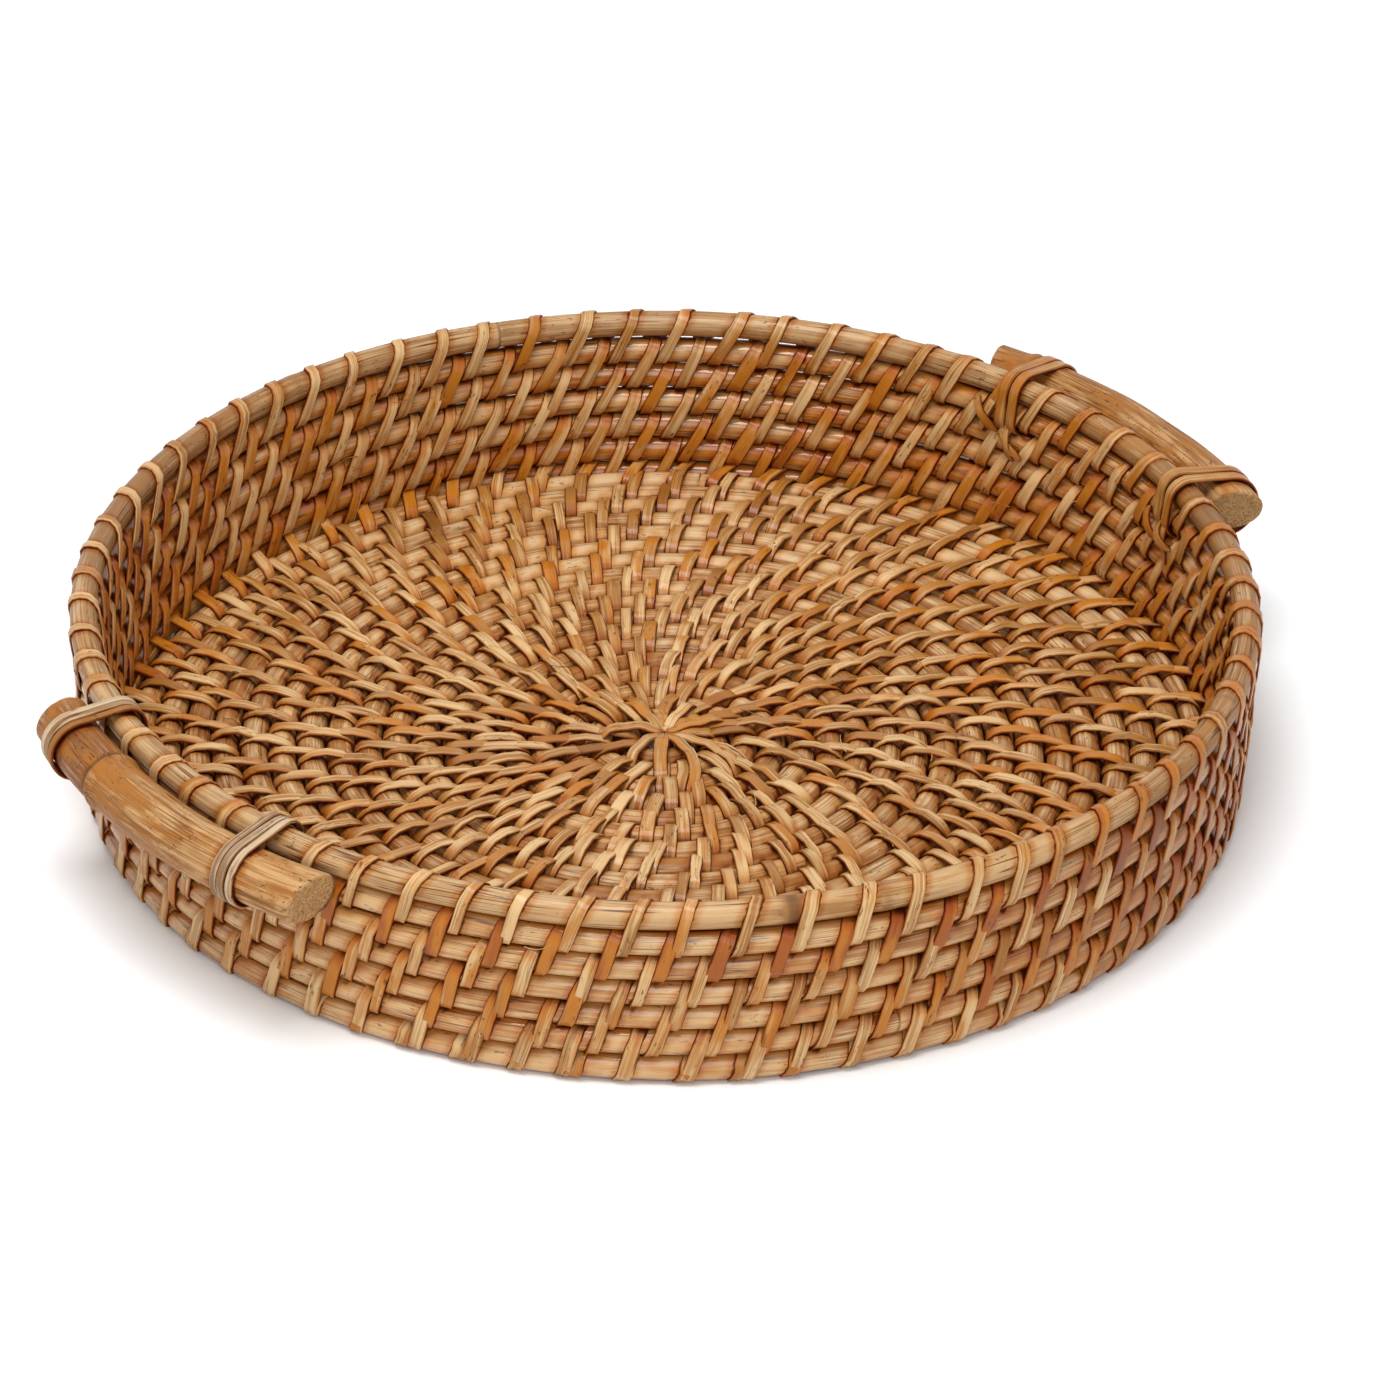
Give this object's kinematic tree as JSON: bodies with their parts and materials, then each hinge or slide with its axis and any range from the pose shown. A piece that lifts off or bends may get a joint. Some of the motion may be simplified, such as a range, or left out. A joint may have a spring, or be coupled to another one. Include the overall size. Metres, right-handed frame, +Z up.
{
  "type": "winnowing basket",
  "caption": "Round shallow coiled cane tray with an upright wall, a bound rim and thick pole handles lashed to the outside of the rim.",
  "frame": {"origin": "centre of the underside of the tray, on the resting plane", "axes": "+Z up out of the open mouth; the viewer's side of the tray is -Y and +X is to the viewer's right; the front handle is centred 40 degrees from -X towards -Y"},
  "size_m": [0.4202, 0.4096, 0.0713],
  "materials": {
    "base_cane": "satin, honey tan round cane with long grain",
    "wall_cane": "satin, honey tan round cane with long grain",
    "rim_cane": "satin, paler tan round cane",
    "binding_strip": "semi-gloss split cane skin",
    "handle_pole": "satin thick cane with sawn ends",
    "lashing_weathered": "matt, greyed split cane",
    "lashing_tan": "semi-gloss orange-brown split cane"
  },
  "bodies": {
    "root": {"base_cane_1": "base_cane", "base_cane_2": "base_cane", "base_cane_3": "base_cane", "base_cane_4": "base_cane", "base_cane_5": "base_cane", "base_cane_6": "base_cane", "base_cane_end": "base_cane", "centre_tip": "base_cane", "centre_strips": "binding_strip", "rim_cane": "rim_cane", "wall_cane_2": "wall_cane", "wall_cane_3": "wall_cane", "wall_cane_4": "wall_cane", "wall_cane_5": "wall_cane", "wall_cane_6": "wall_cane", "wall_cane_7": "wall_cane", "rim_binding_1": "binding_strip", "rim_binding_2": "binding_strip", "rim_binding_3": "binding_strip", "rim_binding_4": "binding_strip", "handle_front": "handle_pole", "handle_back": "handle_pole", "lashing_front_1_wrap_1": "lashing_weathered", "lashing_front_1_wrap_2": "lashing_weathered", "lashing_front_1_tail": "lashing_weathered", "lashing_front_2_wrap_1": "lashing_weathered", "lashing_front_2_wrap_2": "lashing_weathered", "lashing_front_2_tail": "lashing_weathered", "lashing_back_1_wrap_1": "lashing_tan", "lashing_back_1_wrap_2": "lashing_tan", "lashing_back_1_tail": "lashing_tan", "lashing_back_2_wrap_1": "lashing_tan", "lashing_back_2_wrap_2": "lashing_tan", "lashing_back_2_tail": "lashing_tan"}
  },
  "joints": []
}
